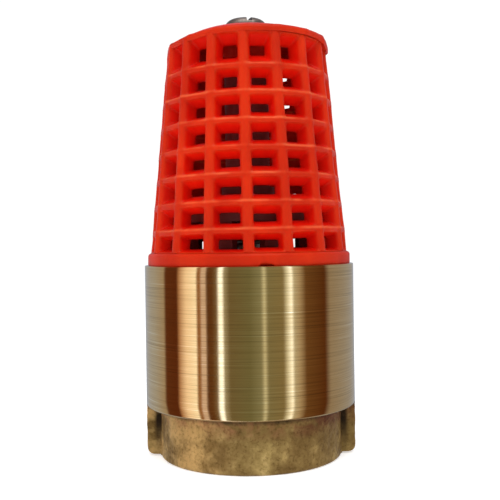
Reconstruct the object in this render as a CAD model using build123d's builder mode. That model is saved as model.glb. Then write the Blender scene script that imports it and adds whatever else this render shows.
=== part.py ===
"""Brass foot valve with a G1 female outlet and a tapered moulded strainer.

Millimetres. The valve stands on its threaded end: +Z up, origin at the centre of the outlet face.
In service it hangs the other way up on its suction pipe. Water enters through the strainer's windows,
pushes the poppet off its seat towards the thread, against the return spring, and leaves through the thread.
"""

import os
from math import cos, radians, tan

from build123d import *

# --- Outside of the brass body --------------------------------------------------------------------
body_radius = 23.5
body_height = 42.7
collar_radius = 20.4
collar_height = 11.7
collar_foot_round = 0.8
lug_reach = 23.4
lug_width = 5.0
lug_foot = 0.4
lug_foot_round = 1.6
lug_root = 0.3
rim_chamfer = 0.3

# --- G1 outlet thread (ISO 228), its bore at the minor diameter -----------------------------------
thread_minor_radius = 30.291 / 2
thread_length = 14.2
mouth_chamfer = 1.75

# --- Chamber, seat bush and its seal --------------------------------------------------------------
chamber_radius = 19.5
chamber_floor = 18.5
gasket_ledge = 32.5
gasket_thickness = 1.0
bush_bore_radius = 21.0
thread_clearance = 0.05
bush_top = 39.4
bush_nose_radius = 19.2
bush_nose_foot = 32.3
seat_plane = 31.5
seat_bore_radius = 12.5
seat_land_radius = 14.3
cage_floor = 36.5
cage_seat_radius = 16.6
spider_foot = 34.0
spider_arm_width = 2.4
spider_arm_turn = 45.0
spider_arm_count = 4
arm_root = 1.0
spider_hub_radius = 5.6
guide_tube_radius = 3.9
spanner_notch_length = 7.0
spanner_notch_width = 3.0
spanner_notch_depth = 1.5
spanner_notch_count = 4
spigot_bore_radius = 21.5
spigot_ledge = 39.5

# --- Poppet and stem ------------------------------------------------------------------------------
poppet_lift = 6.0
stop_clearance = 0.05
stem_radius = 2.5
running_clearance = 0.05
fixed_clearance = 0.03
seat_gap = 0.05
seal_radius = 14.4
seal_thickness = 2.05
poppet_radius = 15.4
poppet_plate = 3.0
poppet_rim_height = 1.2
poppet_edge_chamfer = 0.8
poppet_hub_radius = 6.5
poppet_hub_height = 2.0
seal_plate_radius = 11.2
seal_plate_thickness = 1.3
stem_collar_radius = 3.8
stem_collar_height = 0.85
stem_top = 50.5
stem_tail = 1.0
stem_chamfer = 0.4
lock_washer_radius = 4.6
lock_washer_thickness = 1.2
lock_washer_slot = 1.0
lock_washer_slant = 30.0
nut_flats = 8.0
nut_height = 4.0
nut_chamfer_angle = 30.0
hexagon_half_angle = 30.0

# --- Return spring and its retainer ---------------------------------------------------------------
spring_top = 48.0
spring_wire_radius = 0.4
spring_radius = 4.7
spring_turns = 5.5
retainer_radius = 5.7
retainer_thickness = 1.15
clip_thickness = 0.6
clip_radius = 4.8
clip_groove_radius = 2.0
clip_opening = 3.4
clip_relief_radius = 0.85
clip_relief_turn = 120.0

# --- Guide cage -----------------------------------------------------------------------------------
cage_flange_radius = 16.5
cage_flange_thickness = 1.5
cage_ring_inner = 13.0
cage_ring_outer = 15.6
cage_ring_top = 41.5
cage_leg_width = 5.5
cage_leg_count = 8
cage_plate_foot = 52.0
cage_plate_top = 54.6
cage_plate_radius = 15.4
cage_plate_chamfer = 0.4
cage_boss_radius = 6.0
cage_boss_top = 60.0
insert_radius = 3.6
insert_length = 7.0
insert_groove_depth = 0.4
ring_thickness = 0.8
ring_reach = 17.3
ring_inner = 15.9
ring_gap = 8.0
groove_play = 0.05

# --- Strainer basket ------------------------------------------------------------------------------
flange_radius = 22.8
flange_height = 2.8
flange_round = 0.7
basket_foot_radius = 21.9
basket_top_radius = 17.6
basket_top = 91.3
basket_wall = 3.2
spigot_radius = 21.4
spigot_inner = 19.2
spigot_foot = 39.6
window_columns = 16
window_rows = 8
first_row_foot = 45.4
row_pitch = 5.75
rib_width = 1.9
ring_width = 1.5
inner_rib_width = 4.0
window_height = 2.4
cutter_overrun = 0.8
nick_width = 2.4
nick_height = 0.9
nick_depth = 1.0
nick_offset = 3.5

# --- Strainer cap, its screw and the spacer -------------------------------------------------------
cap_shift = 0.4
cap_radius = 17.9
cap_shoulder = 92.3
cap_crown_height = 3.45
cap_crown_power = 2.6
crown_spans = 4
cap_wall = 2.2
cap_boss_root = 0.6
cap_spigot_foot = 90.2
cap_spigot_radius = 13.8
cap_spigot_inner = 12.0
cap_boss_radius = 6.4
cap_boss_foot = 88.5
screw_seat = 94.2
screw_pocket_radius = 5.8
screw_hole_radius = 3.2
screw_radius = 2.5
screw_length = 40.0
head_radius = 4.75
head_height = 3.1
head_edge_round = 1.6
slot_width = 1.2
slot_depth = 1.4
slot_turn = 102.0
flat_washer_radius = 5.0
flat_washer_bore = 2.65
flat_washer_thickness = 1.0
spacer_radius = 5.0
spacer_bore = 2.75

# --- Worked out from the sizes above --------------------------------------------------------------
flange_top = body_height + flange_height
basket_taper = (basket_foot_radius - basket_top_radius) / (basket_top - flange_top)
column_angle = 360 / window_columns
thread_outer_radius = bush_bore_radius - thread_clearance
bush_shoulder = gasket_ledge + gasket_thickness
groove_foot = cage_floor + cage_flange_thickness
seal_top = seat_plane - seat_gap
disc_top = seal_top - seal_thickness
disc_foot = disc_top - poppet_plate
hub_foot = disc_foot - poppet_hub_height
washer_foot = hub_foot - lock_washer_thickness
nut_foot = washer_foot - nut_height
stem_foot = nut_foot - stem_tail
stem_collar_foot = seal_top + seal_plate_thickness
guide_tube_top = spring_top - poppet_lift - stop_clearance
clip_foot = spring_top + retainer_thickness
on_stem = stem_radius + fixed_clearance
head_foot = screw_seat + flat_washer_thickness
insert_foot = cage_boss_top - insert_length


def basket_radius(height):
    """Outer radius of the strainer's cone at a height."""
    return basket_foot_radius - basket_taper * (height - flange_top)


def window_size(height, depth):
    """Width and height of a strainer window, depth below the cone's surface: each one is a funnel."""
    cell = basket_radius(height) * radians(column_angle)
    inward = depth / basket_wall
    width = cell - rib_width - inward * (inner_rib_width - rib_width)
    outer_height = row_pitch - ring_width
    height_here = outer_height - inward * (outer_height - window_height)
    return width, height_here


def cap_crown(radius):
    """Height of the cap's crown at a radius from the cap's own axis."""
    return cap_shoulder + cap_crown_height * (1 - (radius / cap_radius) ** cap_crown_power)


# === Valve body: turned shell, cast collar with two wrench lugs, bore for the G1 thread ===========
with BuildPart() as valve_body:
    with BuildSketch(Plane.XZ):
        with BuildLine():
            Polyline(
                (thread_minor_radius + mouth_chamfer, 0),
                (collar_radius, 0),
                (collar_radius, collar_height),
                (body_radius, collar_height),
                (body_radius, body_height),
                (spigot_bore_radius, body_height),
                (spigot_bore_radius, spigot_ledge),
                (bush_bore_radius, spigot_ledge),
                (bush_bore_radius, gasket_ledge),
                (chamber_radius, gasket_ledge),
                (chamber_radius, chamber_floor),
                (thread_minor_radius, thread_length),
                (thread_minor_radius, mouth_chamfer),
                close=True,
            )
        make_face()
    revolve(axis=Axis.Z)
    round_edges = valve_body.edges().filter_by(GeomType.CIRCLE)
    chamfer(round_edges.filter_by(lambda e: e.radius == body_radius), length=rim_chamfer)
    collar_rims = round_edges.filter_by(lambda e: e.radius == collar_radius)
    fillet(collar_rims.sort_by(Axis.Z)[0], radius=collar_foot_round)

    with BuildSketch(Plane.XZ) as lug_side:
        with Locations((0, (lug_foot + collar_height) / 2)):
            Rectangle(2 * lug_reach, collar_height - lug_foot)
        fillet(lug_side.vertices().group_by(Axis.Z)[0], radius=lug_foot_round)
        with Locations((0, collar_height / 2)):
            Rectangle(2 * (collar_radius - lug_root), 2 * collar_height, mode=Mode.SUBTRACT)
    extrude(amount=lug_width / 2, both=True)

# === Seat gasket ==================================================================================
with BuildPart() as seat_gasket:
    with BuildSketch(Plane.XY.offset(gasket_ledge)):
        Circle(thread_outer_radius)
        Circle(chamber_radius, mode=Mode.SUBTRACT)
    extrude(amount=gasket_thickness)

# === Seat bush: screwed ring with the seat, a four-armed spider and the stem's guide tube =========
with BuildPart() as seat_bush:
    with BuildSketch(Plane.XZ):
        with BuildLine():
            Polyline(
                (seat_bore_radius, seat_plane),
                (seat_land_radius, seat_plane),
                (bush_nose_radius, bush_nose_foot),
                (bush_nose_radius, bush_shoulder),
                (thread_outer_radius, bush_shoulder),
                (thread_outer_radius, bush_top),
                (cage_seat_radius, bush_top),
                (cage_seat_radius, cage_floor),
                (seat_bore_radius, cage_floor),
                close=True,
            )
        make_face()
    revolve(axis=Axis.Z)
    with BuildSketch(Plane.XY.offset(spider_foot)):
        with PolarLocations(seat_bore_radius / 2, spider_arm_count, start_angle=spider_arm_turn):
            Rectangle(seat_bore_radius + arm_root, spider_arm_width)
        Circle(spider_hub_radius)
    extrude(amount=cage_floor - spider_foot)
    with BuildSketch(Plane.XY.offset(cage_floor)):
        Circle(guide_tube_radius)
    extrude(amount=guide_tube_top - cage_floor)
    with BuildSketch(Plane.XY.offset(spider_foot)):
        Circle(stem_radius + running_clearance)
    extrude(amount=guide_tube_top - spider_foot, mode=Mode.SUBTRACT)
    with BuildSketch(Plane.XY.offset(groove_foot - groove_play)):
        Circle(ring_reach + 2 * groove_play)
        Circle(cage_ring_inner, mode=Mode.SUBTRACT)
    extrude(amount=ring_thickness + 2 * groove_play, mode=Mode.SUBTRACT)
    with BuildSketch(Plane.XY.offset(bush_top)):
        with PolarLocations((cage_seat_radius + thread_outer_radius) / 2, spanner_notch_count):
            Rectangle(spanner_notch_length, spanner_notch_width)
    extrude(amount=-spanner_notch_depth, mode=Mode.SUBTRACT)

# === Guide cage: flange held in the bush, legs round the spring, a plate and the screw's boss ======
with BuildPart() as guide_cage:
    with BuildSketch(Plane.XY.offset(cage_floor)):
        Circle(cage_flange_radius)
        Circle(cage_ring_inner, mode=Mode.SUBTRACT)
    extrude(amount=cage_flange_thickness)
    with BuildSketch(Plane.XY.offset(cage_floor)):
        Circle(cage_ring_outer)
        Circle(cage_ring_inner, mode=Mode.SUBTRACT)
    extrude(amount=cage_ring_top - cage_floor)
    with BuildSketch(Plane.XY.offset(cage_ring_top)):
        leg_circle = (cage_ring_inner + cage_ring_outer) / 2
        with PolarLocations(leg_circle, cage_leg_count, start_angle=180 / cage_leg_count):
            Rectangle(cage_ring_outer - cage_ring_inner, cage_leg_width)
    extrude(amount=cage_plate_foot - cage_ring_top)
    with BuildSketch(Plane.XY.offset(cage_plate_foot)):
        Circle(cage_plate_radius)
    extrude(amount=cage_plate_top - cage_plate_foot)
    chamfer(guide_cage.edges().group_by(Axis.Z)[-1], length=cage_plate_chamfer)
    with BuildSketch(Plane.XY.offset(cage_plate_top)):
        Circle(cage_boss_radius)
    extrude(amount=cage_boss_top - cage_plate_top)
    with BuildSketch(Plane.XY.offset(cage_boss_top)):
        Circle(insert_radius)
    extrude(amount=-insert_length, mode=Mode.SUBTRACT)

# === Cage insert: threaded brass insert for the cap screw =========================================
with BuildPart() as cage_insert:
    with BuildSketch(Plane.XZ):
        with BuildLine():
            Polyline(
                (screw_radius + fixed_clearance, insert_foot),
                (insert_radius, insert_foot),
                (insert_radius, insert_foot + insert_length / 3),
                (insert_radius - insert_groove_depth, insert_foot + insert_length / 2),
                (insert_radius, insert_foot + 2 * insert_length / 3),
                (insert_radius, cage_boss_top),
                (screw_radius + fixed_clearance, cage_boss_top),
                close=True,
            )
        make_face()
    revolve(axis=Axis.Z)

# === Cage retaining ring: a sprung ring in the bush's groove ======================================
with BuildPart() as cage_retaining_ring:
    with BuildSketch(Plane.XY.offset(groove_foot)):
        Circle(ring_reach)
        Circle(ring_inner, mode=Mode.SUBTRACT)
        with Locations(((ring_reach + ring_inner) / 2, 0)):
            Rectangle(ring_gap / 2, ring_gap, mode=Mode.SUBTRACT)
    extrude(amount=ring_thickness)

# === Strainer basket: spigot, flange and a tapered wall with funnel-shaped windows ================
with BuildPart() as strainer_basket:
    with BuildSketch(Plane.XZ):
        with BuildLine():
            Polyline(
                (spigot_inner, spigot_foot),
                (spigot_radius, spigot_foot),
                (spigot_radius, body_height),
                (flange_radius, body_height),
                (flange_radius, flange_top),
                (basket_foot_radius, flange_top),
                (basket_top_radius, basket_top),
                (basket_top_radius - basket_wall, basket_top),
                (basket_foot_radius - basket_wall, flange_top),
                (spigot_inner, body_height),
                close=True,
            )
        make_face()
    revolve(axis=Axis.Z)
    basket_rims = strainer_basket.edges().filter_by(GeomType.CIRCLE)
    flange_rims = basket_rims.filter_by(lambda e: e.radius == flange_radius)
    fillet(flange_rims.sort_by(Axis.Z)[-1], radius=flange_round)
    for row in range(window_rows):
        row_height = first_row_foot + row_pitch * (row + 0.5)
        surface = basket_radius(row_height)
        cutters = []
        for column in range(window_columns):
            outward = Vector(1, 0, 0).rotate(Axis.Z, column_angle * (column + 0.5))
            faces = []
            for depth in (-cutter_overrun, basket_wall + cutter_overrun):
                place = outward * (surface - depth) + Vector(0, 0, row_height)
                across = outward.rotate(Axis.Z, 90)
                window_plane = Plane(origin=place, x_dir=across, z_dir=outward)
                with BuildSketch(window_plane, mode=Mode.PRIVATE) as window:
                    Rectangle(*window_size(row_height, depth))
                faces.append(window.sketch.face())
            cutters.append(loft(faces, mode=Mode.PRIVATE))
        add(cutters, mode=Mode.SUBTRACT)
    with BuildSketch(Plane.XY.offset(body_height)):
        with Locations((nick_offset, -flange_radius)):
            Rectangle(nick_width, 2 * nick_depth)
    extrude(amount=nick_height, mode=Mode.SUBTRACT)

# === Strainer cap: domed lid with a screw pocket, a locating spigot and a boss for the spacer =====
cap_axis = Axis((cap_shift, 0, 0), (0, 0, 1))
crown_step = (cap_radius - screw_pocket_radius) / crown_spans
crown_radii = [cap_radius - crown_step * span for span in range(crown_spans + 1)]
with BuildPart() as strainer_cap:
    with BuildSketch(Plane.XZ.shift_origin((cap_shift, 0, 0))):
        with BuildLine():
            crown = Spline([(radius, cap_crown(radius)) for radius in crown_radii])
            Polyline(
                crown @ 1,
                (screw_pocket_radius, screw_seat),
                (screw_hole_radius, screw_seat),
                (screw_hole_radius, cap_boss_foot),
                (cap_boss_radius, cap_boss_foot),
                (cap_boss_radius, cap_crown(cap_boss_radius) - cap_wall - cap_boss_root),
                (cap_spigot_inner, cap_crown(cap_spigot_inner) - cap_wall),
                (cap_spigot_inner, cap_spigot_foot),
                (cap_spigot_radius, cap_spigot_foot),
                (cap_spigot_radius, basket_top),
                (cap_radius, basket_top),
                crown @ 0,
            )
        make_face()
    revolve(axis=cap_axis)

# === Spacer tube between the cage's boss and the cap's boss =======================================
with BuildPart() as spacer_tube:
    with BuildSketch(Plane.XY.offset(cage_boss_top)):
        Circle(spacer_radius)
        Circle(spacer_bore, mode=Mode.SUBTRACT)
    extrude(amount=cap_boss_foot - cage_boss_top)

# === Screw washer =================================================================================
with BuildPart() as screw_washer:
    with BuildSketch(Plane.XY.offset(screw_seat)):
        Circle(flat_washer_radius)
        Circle(flat_washer_bore, mode=Mode.SUBTRACT)
    extrude(amount=flat_washer_thickness)

# === Cap screw: M5 slotted pan head ===============================================================
with BuildPart() as cap_screw:
    with BuildSketch(Plane.XY.offset(head_foot - screw_length)):
        Circle(screw_radius)
    extrude(amount=screw_length)
    chamfer(cap_screw.edges().group_by(Axis.Z)[0], length=stem_chamfer)
    with BuildSketch(Plane.XY.offset(head_foot)):
        Circle(head_radius)
    extrude(amount=head_height)
    fillet(cap_screw.edges().group_by(Axis.Z)[-1], radius=head_edge_round)
    with BuildSketch(Plane.XY.offset(head_foot + head_height)):
        Rectangle(3 * head_radius, slot_width, rotation=slot_turn)
    extrude(amount=-slot_depth, mode=Mode.SUBTRACT)

# === Poppet disc: plate with a rim that holds the seal, and a hub below ===========================
with BuildPart() as poppet_disc:
    with BuildSketch(Plane.XZ):
        with BuildLine():
            Polyline(
                (on_stem, hub_foot),
                (poppet_hub_radius, hub_foot),
                (poppet_hub_radius, disc_foot),
                (poppet_radius - poppet_edge_chamfer, disc_foot),
                (poppet_radius, disc_foot + poppet_edge_chamfer),
                (poppet_radius, disc_top + poppet_rim_height),
                (seal_radius, disc_top + poppet_rim_height),
                (seal_radius, disc_top),
                (on_stem, disc_top),
                close=True,
            )
        make_face()
    revolve(axis=Axis.Z)

# === Poppet seal ==================================================================================
with BuildPart() as poppet_seal:
    with BuildSketch(Plane.XY.offset(disc_top)):
        Circle(seal_radius - fixed_clearance)
        Circle(on_stem, mode=Mode.SUBTRACT)
    extrude(amount=seal_thickness)

# === Seal plate ===================================================================================
with BuildPart() as seal_plate:
    with BuildSketch(Plane.XY.offset(seal_top)):
        Circle(seal_plate_radius)
        Circle(on_stem, mode=Mode.SUBTRACT)
    extrude(amount=seal_plate_thickness)
    chamfer(seal_plate.edges().group_by(Axis.Z)[-1].sort_by(SortBy.RADIUS)[-1], length=stem_chamfer)

# === Poppet stem: collar above the seal plate, clip groove near the top ===========================
with BuildPart() as poppet_stem:
    with BuildSketch(Plane.XZ):
        with BuildLine():
            Polyline(
                (0, stem_foot),
                (stem_radius - stem_chamfer, stem_foot),
                (stem_radius, stem_foot + stem_chamfer),
                (stem_radius, stem_collar_foot),
                (stem_collar_radius, stem_collar_foot),
                (stem_collar_radius, stem_collar_foot + stem_collar_height),
                (stem_radius, stem_collar_foot + stem_collar_height),
                (stem_radius, clip_foot),
                (clip_groove_radius, clip_foot),
                (clip_groove_radius, clip_foot + clip_thickness),
                (stem_radius, clip_foot + clip_thickness),
                (stem_radius, stem_top - stem_chamfer),
                (stem_radius - stem_chamfer, stem_top),
                (0, stem_top),
                close=True,
            )
        make_face()
    revolve(axis=Axis.Z)

# === Stem washer: split spring washer under the nut ===============================================
with BuildPart() as stem_washer:
    with BuildSketch(Plane.XY.offset(washer_foot)):
        Circle(lock_washer_radius)
        Circle(on_stem, mode=Mode.SUBTRACT)
        with Locations(((lock_washer_radius + on_stem) / 2, 0)):
            Rectangle(lock_washer_radius, lock_washer_slot, rotation=lock_washer_slant, mode=Mode.SUBTRACT)
    extrude(amount=lock_washer_thickness)

# === Stem nut: M5 hexagon, both faces chamfered ===================================================
with BuildPart() as stem_nut:
    with BuildSketch(Plane.XY.offset(nut_foot)):
        RegularPolygon(nut_flats / 2, 6, major_radius=False)
        Circle(on_stem, mode=Mode.SUBTRACT)
    extrude(amount=nut_height)
    corner_radius = nut_flats / 2 / cos(radians(hexagon_half_angle))
    corner_drop = (corner_radius - nut_flats / 2) * tan(radians(nut_chamfer_angle))
    with BuildSketch(Plane.XZ):
        with BuildLine():
            Polyline(
                (0, nut_foot),
                (nut_flats / 2, nut_foot),
                (corner_radius, nut_foot + corner_drop),
                (corner_radius, nut_foot + nut_height - corner_drop),
                (nut_flats / 2, nut_foot + nut_height),
                (0, nut_foot + nut_height),
                close=True,
            )
        make_face()
    revolve(axis=Axis.Z, mode=Mode.INTERSECT)

# === Spring retainer: turned washer between the spring and the clip ===============================
with BuildPart() as spring_retainer:
    with BuildSketch(Plane.XY.offset(spring_top)):
        Circle(retainer_radius)
        Circle(on_stem, mode=Mode.SUBTRACT)
    extrude(amount=retainer_thickness)

# === Stem clip: E-clip in the stem's groove =======================================================
with BuildPart() as stem_clip:
    with BuildSketch(Plane.XY.offset(clip_foot)):
        Circle(clip_radius)
        Circle(clip_groove_radius + fixed_clearance, mode=Mode.SUBTRACT)
        with Locations((clip_radius, 0)):
            Rectangle(2 * clip_radius, clip_opening, mode=Mode.SUBTRACT)
        with PolarLocations(clip_groove_radius + clip_relief_radius, 2, clip_relief_turn, clip_relief_turn):
            Circle(clip_relief_radius, mode=Mode.SUBTRACT)
    extrude(amount=clip_thickness)

# === Return spring ================================================================================
with BuildPart() as return_spring:
    coil_height = spring_top - cage_floor - 2 * spring_wire_radius
    coil_foot = cage_floor + spring_wire_radius
    with BuildLine() as coil:
        Helix(coil_height / spring_turns, coil_height, spring_radius, center=(0, 0, coil_foot))
    with BuildSketch(Plane(origin=coil.wires()[0] @ 0, z_dir=coil.wires()[0] % 0)):
        Circle(spring_wire_radius)
    sweep(path=coil.wires()[0], is_frenet=True)

pieces = {
    "valve_body": valve_body,
    "seat_gasket": seat_gasket,
    "seat_bush": seat_bush,
    "guide_cage": guide_cage,
    "cage_insert": cage_insert,
    "cage_retaining_ring": cage_retaining_ring,
    "strainer_basket": strainer_basket,
    "strainer_cap": strainer_cap,
    "spacer_tube": spacer_tube,
    "screw_washer": screw_washer,
    "cap_screw": cap_screw,
    "poppet_disc": poppet_disc,
    "poppet_seal": poppet_seal,
    "seal_plate": seal_plate,
    "poppet_stem": poppet_stem,
    "stem_washer": stem_washer,
    "stem_nut": stem_nut,
    "spring_retainer": spring_retainer,
    "stem_clip": stem_clip,
    "return_spring": return_spring,
}
os.makedirs("parts", exist_ok=True)
for name, piece in pieces.items():
    piece.part.label = name
    export_step(piece.part, f"parts/{name}.step")
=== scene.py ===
"""The foot valve's looks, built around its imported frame.

Shapes are written in millimetres in the row's frame, +Z up the valve's axis and -Y towards the camera.
Each piece's mesh is turned into metres when it is made.
"""

import math
import random

import bmesh
import bpy
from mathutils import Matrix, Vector, noise

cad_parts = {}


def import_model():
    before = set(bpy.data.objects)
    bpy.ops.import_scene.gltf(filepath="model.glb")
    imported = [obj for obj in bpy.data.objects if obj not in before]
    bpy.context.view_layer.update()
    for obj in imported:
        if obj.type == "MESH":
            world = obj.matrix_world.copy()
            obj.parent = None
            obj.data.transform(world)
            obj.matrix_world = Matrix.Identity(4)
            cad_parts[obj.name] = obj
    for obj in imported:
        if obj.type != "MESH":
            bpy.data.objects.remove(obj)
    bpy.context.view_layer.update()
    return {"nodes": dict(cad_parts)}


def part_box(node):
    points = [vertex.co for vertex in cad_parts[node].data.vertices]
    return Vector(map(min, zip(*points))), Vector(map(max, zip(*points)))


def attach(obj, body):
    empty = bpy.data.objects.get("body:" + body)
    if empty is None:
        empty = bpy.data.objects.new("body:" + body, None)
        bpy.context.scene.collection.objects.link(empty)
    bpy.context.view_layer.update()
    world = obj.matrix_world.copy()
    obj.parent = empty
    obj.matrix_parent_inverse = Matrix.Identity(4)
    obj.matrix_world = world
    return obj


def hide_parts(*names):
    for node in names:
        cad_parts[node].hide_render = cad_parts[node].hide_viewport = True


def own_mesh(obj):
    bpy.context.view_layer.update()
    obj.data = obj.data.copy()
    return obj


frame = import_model()

MM = 0.001
TURN = 2 * math.pi


def box_mm(node):
    """A CAD node's lowest and highest corners, in millimetres."""
    low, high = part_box(node)
    return Vector(low) / MM, Vector(high) / MM


# --- Sizes taken from the frame -------------------------------------------------------------------
BODY_HIGH = box_mm("valve_body")[1]
BASKET_HIGH = box_mm("strainer_basket")[1]
CAP_LOW, CAP_HIGH = box_mm("strainer_cap")
SCREW_LOW, SCREW_HIGH = box_mm("cap_screw")
SPRING_LOW = box_mm("return_spring")[0]
STEM_LOW, STEM_HIGH = box_mm("poppet_stem")

BODY_R = BODY_HIGH.y
BODY_TOP = BODY_HIGH.z
FLANGE_R = BASKET_HIGH.y
BASKET_TOP = BASKET_HIGH.z
CAP_R = CAP_HIGH.y
CAP_SHIFT = (CAP_LOW.x + CAP_HIGH.x) / 2

# --- Sizes of the valve's details, as designed ----------------------------------------------------
COLLAR_R, COLLAR_TOP = 20.4, 11.7
LUG_REACH, LUG_HALF, LUG_FOOT, LUG_ROUND = 23.4, 2.5, 0.4, 1.6
THREAD_MINOR, THREAD_MAJOR, THREAD_PITCH, THREAD_END = 15.1455, 16.6245, 2.309, 14.2
MOUTH = 1.75
CHAMBER_R, CHAMBER_FLOOR, LEDGE = 19.5, 18.5, 32.5
BUSH_BORE, SPIGOT_BORE, SPIGOT_LEDGE = 21.0, 21.5, 39.5
SPIGOT_R, SPIGOT_INNER = 21.4, 19.2
COLUMNS, ROWS, ROW_PITCH, FIRST_ROW = 16, 8, 5.675, 44.3
CELL = TURN / COLUMNS
TWIST = math.radians(2.0)     # how far the ribs lean over the basket's height
TILT = 0.012                  # the moulding's rings rise a little towards +X
FLANGE_TOP = BODY_TOP + 2.8
CONE_FOOT_R, CONE_TOP_R, WALL = 21.9, 17.6, 3.2


# --- Mesh helpers ---------------------------------------------------------------------------------
class Shell:
    """Points and faces of one piece, in millimetres."""

    def __init__(self):
        self.points = []
        self.faces = []
        self.slots = []

    def point(self, x, y, z):
        self.points.append((x * MM, y * MM, z * MM))
        return len(self.points) - 1

    def loop(self, points):
        return [self.point(*p) for p in points]

    def ring(self, r, z, angles):
        """A level circle of points about the axis."""
        return self.loop([(r * math.cos(a), r * math.sin(a), z) for a in angles])

    def uneven_ring(self, radii, z, angles):
        """A level loop about the axis with a radius of its own at each angle."""
        return self.loop([(r * math.cos(a), r * math.sin(a), z) for r, a in zip(radii, angles)])

    def band(self, low, high, slot=0):
        """Quads between two loops with as many points each."""
        for i in range(len(low)):
            j = (i + 1) % len(low)
            self.faces.append((low[i], low[j], high[j], high[i]))
            self.slots.append(slot)

    def sleeve(self, loops):
        """A band from each loop to the next."""
        for here, there in zip(loops, loops[1:]):
            self.band(here, there)

    def closed_skin(self, loops, slots=None):
        """A sleeve whose last loop joins the first."""
        for i, loop in enumerate(loops):
            self.band(loop, loops[(i + 1) % len(loops)], slots[i] if slots else 0)

    def cap(self, loop):
        """One face that closes a loop."""
        self.faces.append(tuple(loop))
        self.slots.append(0)

    def piece(self, name, materials, crease=38.0):
        """The finished object: merged, outward facing, smooth with creases."""
        mesh = bpy.data.meshes.new(name)
        mesh.from_pydata(self.points, [], self.faces)
        mesh.polygons.foreach_set("material_index", self.slots)
        for material in materials:
            mesh.materials.append(material)
        work = bmesh.new()
        work.from_mesh(mesh)
        bmesh.ops.remove_doubles(work, verts=work.verts, dist=1e-7)
        bmesh.ops.recalc_face_normals(work, faces=work.faces)
        for face in work.faces:
            face.smooth = True
        work.to_mesh(mesh)
        work.free()
        mesh.set_sharp_from_angle(angle=math.radians(crease))
        piece = bpy.data.objects.new(name, mesh)
        bpy.context.scene.collection.objects.link(piece)
        return piece


def steps(count):
    """Evenly spaced angles once round."""
    return [TURN * i / count for i in range(count)]


def spread(start, end, count):
    """Evenly spaced values from start to end, both ends in."""
    return [start + (end - start) * i / count for i in range(count + 1)]


def rounded(corners):
    """A closed profile of (r, z, round) corners as (r, z) points, each corner turned on its own arc."""
    arc_steps = 4
    out = []
    for i, (r, z, size) in enumerate(corners):
        if size <= 0:
            out.append((r, z))
            continue
        here = Vector((r, z))
        back = Vector(corners[i - 1][:2]) - here
        ahead = Vector(corners[(i + 1) % len(corners)][:2]) - here
        half = back.angle(ahead) / 2
        reach = min(size / math.tan(half), 0.49 * back.length, 0.49 * ahead.length)
        start = here + back.normalized() * reach
        end = here + ahead.normalized() * reach
        for k in range(arc_steps + 1):
            t = k / arc_steps
            bend = start.lerp(here, t).lerp(here.lerp(end, t), t)
            out.append((bend.x, bend.y))
    return out


def turned(name, corners, material, segments):
    """A solid of revolution from a closed profile of (r, z, round) corners that stays off the axis."""
    shell = Shell()
    angles = steps(segments)
    shell.closed_skin([shell.ring(r, z, angles) for r, z in rounded(corners)])
    piece = shell.piece(name, [material])
    clean = bmesh.new()
    clean.from_mesh(piece.data)
    bmesh.ops.dissolve_degenerate(clean, dist=1e-7, edges=clean.edges)
    clean.to_mesh(piece.data)
    clean.free()
    return piece


def smoothstep(low, high, value):
    """0 up to low, 1 from high, and an S-shaped rise between."""
    t = min(1.0, max(0.0, (value - low) / (high - low)))
    return t * t * (3 - 2 * t)


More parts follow.
